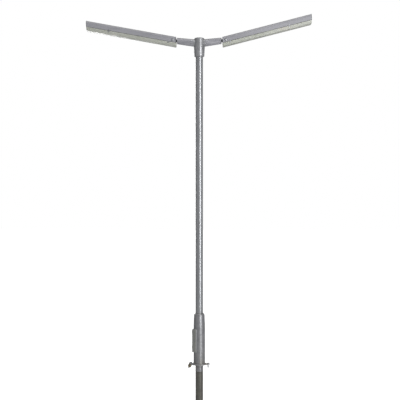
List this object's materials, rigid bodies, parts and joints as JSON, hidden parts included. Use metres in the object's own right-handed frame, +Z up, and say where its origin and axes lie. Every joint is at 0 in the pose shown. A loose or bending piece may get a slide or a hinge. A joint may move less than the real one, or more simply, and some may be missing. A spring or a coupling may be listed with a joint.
{
  "type": "street lamp post",
  "caption": "Twin-arm street lamp post: planted steel pole with a cast base and service door, a socket head and two long upswept tube lanterns that tilt and open.",
  "frame": {"origin": "on the pole's axis at ground level, in the plane of the ground flange's underside", "axes": "+Z up the pole, X along the two arms with +X towards the right-hand lantern, -Y the front, which the cover catches face"},
  "size_m": [3.1126, 0.196, 5.6373],
  "materials": {
    "cast_grey": "painted casting",
    "pole_grey": "grey paint on steel tube",
    "door_grey": "grey paint",
    "root_black": "bitumen coat on steel tube",
    "arm_grey": "painted, ribbed",
    "housing_grey": "painted extrusion",
    "end_cap_dark": "moulded",
    "opal_cover": "weathered opal moulding",
    "gasket_black": "foam rubber",
    "tray_white": "white paint",
    "ballast_grey": "sheet case",
    "lamp_glass": "phosphor-coated tube",
    "holder_white": "moulded",
    "knuckle_dark": "dark paint",
    "zinc": "zinc plated",
    "brass": "plain",
    "fuse_grey": "moulded",
    "cable_black": "sheath"
  },
  "bodies": {
    "root": {"anchor_bolt": "zinc", "arm_bolt_lower_left": "zinc", "arm_bolt_lower_right": "zinc", "arm_bolt_upper_left": "zinc", "arm_bolt_upper_right": "zinc", "arm_head": "cast_grey", "arm_left": "arm_grey", "arm_right": "arm_grey", "base_section": "cast_grey", "door_hinge_pin": "zinc", "earth_bolt": "zinc", "earth_clamp": "brass", "earth_stud": "brass", "equipment_rail": "zinc", "fuse_box": "fuse_grey", "fuse_carrier": "holder_white", "fuse_cover": "fuse_grey", "ground_flange": "cast_grey", "head_cap": "cast_grey", "hub_collar": "cast_grey", "hub_screw_back": "zinc", "hub_screw_front": "zinc", "lead_cable_left": "cable_black", "lead_cable_right": "cable_black", "pole_shaft": "pole_grey", "root_tube": "root_black", "tilt_knuckle_left": "knuckle_dark", "tilt_knuckle_right": "knuckle_dark"},
    "door": {"service_door": "door_grey"},
    "door_lock": {"door_lock": "zinc"},
    "lantern_left": {"ballast_left": "ballast_grey", "end_cap_inner_left": "end_cap_dark", "end_cap_outer_left": "end_cap_dark", "gasket_left": "gasket_black", "gear_tray_left": "tray_white", "hinge_rod_left": "zinc", "housing_left": "housing_grey", "lamp_holder_inner_left": "holder_white", "lamp_holder_outer_left": "holder_white", "lamp_tube_left": "lamp_glass", "mounting_bracket_left": "zinc", "tilt_bolt_left": "zinc"},
    "cover_left": {"cover_left": "opal_cover"},
    "catch_inner_left": {"cover_catch_inner_left": "zinc"},
    "catch_outer_left": {"cover_catch_outer_left": "zinc"},
    "lantern_right": {"ballast_right": "ballast_grey", "end_cap_inner_right": "end_cap_dark", "end_cap_outer_right": "end_cap_dark", "gasket_right": "gasket_black", "gear_tray_right": "tray_white", "hinge_rod_right": "zinc", "housing_right": "housing_grey", "lamp_holder_inner_right": "holder_white", "lamp_holder_outer_right": "holder_white", "lamp_tube_right": "lamp_glass", "mounting_bracket_right": "zinc", "tilt_bolt_right": "zinc"},
    "cover_right": {"cover_right": "opal_cover"},
    "catch_inner_right": {"cover_catch_inner_right": "zinc"},
    "catch_outer_right": {"cover_catch_outer_right": "zinc"}
  },
  "joints": [
    {"name": "service_door_hinge", "type": "hinge", "parent": "root", "child": "door", "pos_m": [-0.09657, -0.01142, 0.338], "axis": [0, 0, -1], "range_deg": [0, 110]},
    {"name": "door_lock_turn", "type": "hinge", "parent": "door", "child": "door_lock", "pos_m": [-0.0581, -0.06131, 0.338], "axis": [0.7986, 0.6018, 0], "range_deg": [0, 90]},
    {"name": "lantern_tilt_left", "type": "hinge", "parent": "root", "child": "lantern_left", "pos_m": [-0.365, 0, 4.48582], "axis": [0, 1, 0], "range_deg": [-8.1, 11.9]},
    {"name": "cover_hinge_left", "type": "hinge", "parent": "lantern_left", "child": "cover_left", "pos_m": [-0.37006, 0.0805, 4.45828], "axis": [0.9836, 0, -0.1805], "range_deg": [0, 85]},
    {"name": "cover_catch_inner_left_turn", "type": "hinge", "parent": "cover_left", "child": "catch_inner_left", "pos_m": [-0.42668, -0.0756, 4.44834], "axis": [0, -1, 0], "range_deg": [0, 90]},
    {"name": "cover_catch_outer_left_turn", "type": "hinge", "parent": "cover_left", "child": "catch_outer_left", "pos_m": [-1.24806, -0.0756, 4.59909], "axis": [0, -1, 0], "range_deg": [0, 90]},
    {"name": "lantern_tilt_right", "type": "hinge", "parent": "root", "child": "lantern_right", "pos_m": [0.365, 0, 4.48582], "axis": [0, -1, 0], "range_deg": [-11.9, 8.1]},
    {"name": "cover_hinge_right", "type": "hinge", "parent": "lantern_right", "child": "cover_right", "pos_m": [0.37187, 0.0805, 4.45867], "axis": [0.9694, 0, 0.2453], "range_deg": [0, 85]},
    {"name": "cover_catch_inner_right_turn", "type": "hinge", "parent": "cover_right", "child": "catch_inner_right", "pos_m": [0.42903, -0.0756, 4.45251], "axis": [0, 1, 0], "range_deg": [0, 90]},
    {"name": "cover_catch_outer_right_turn", "type": "hinge", "parent": "cover_right", "child": "catch_outer_right", "pos_m": [1.23861, -0.0756, 4.65736], "axis": [0, 1, 0], "range_deg": [0, 90]}
  ]
}
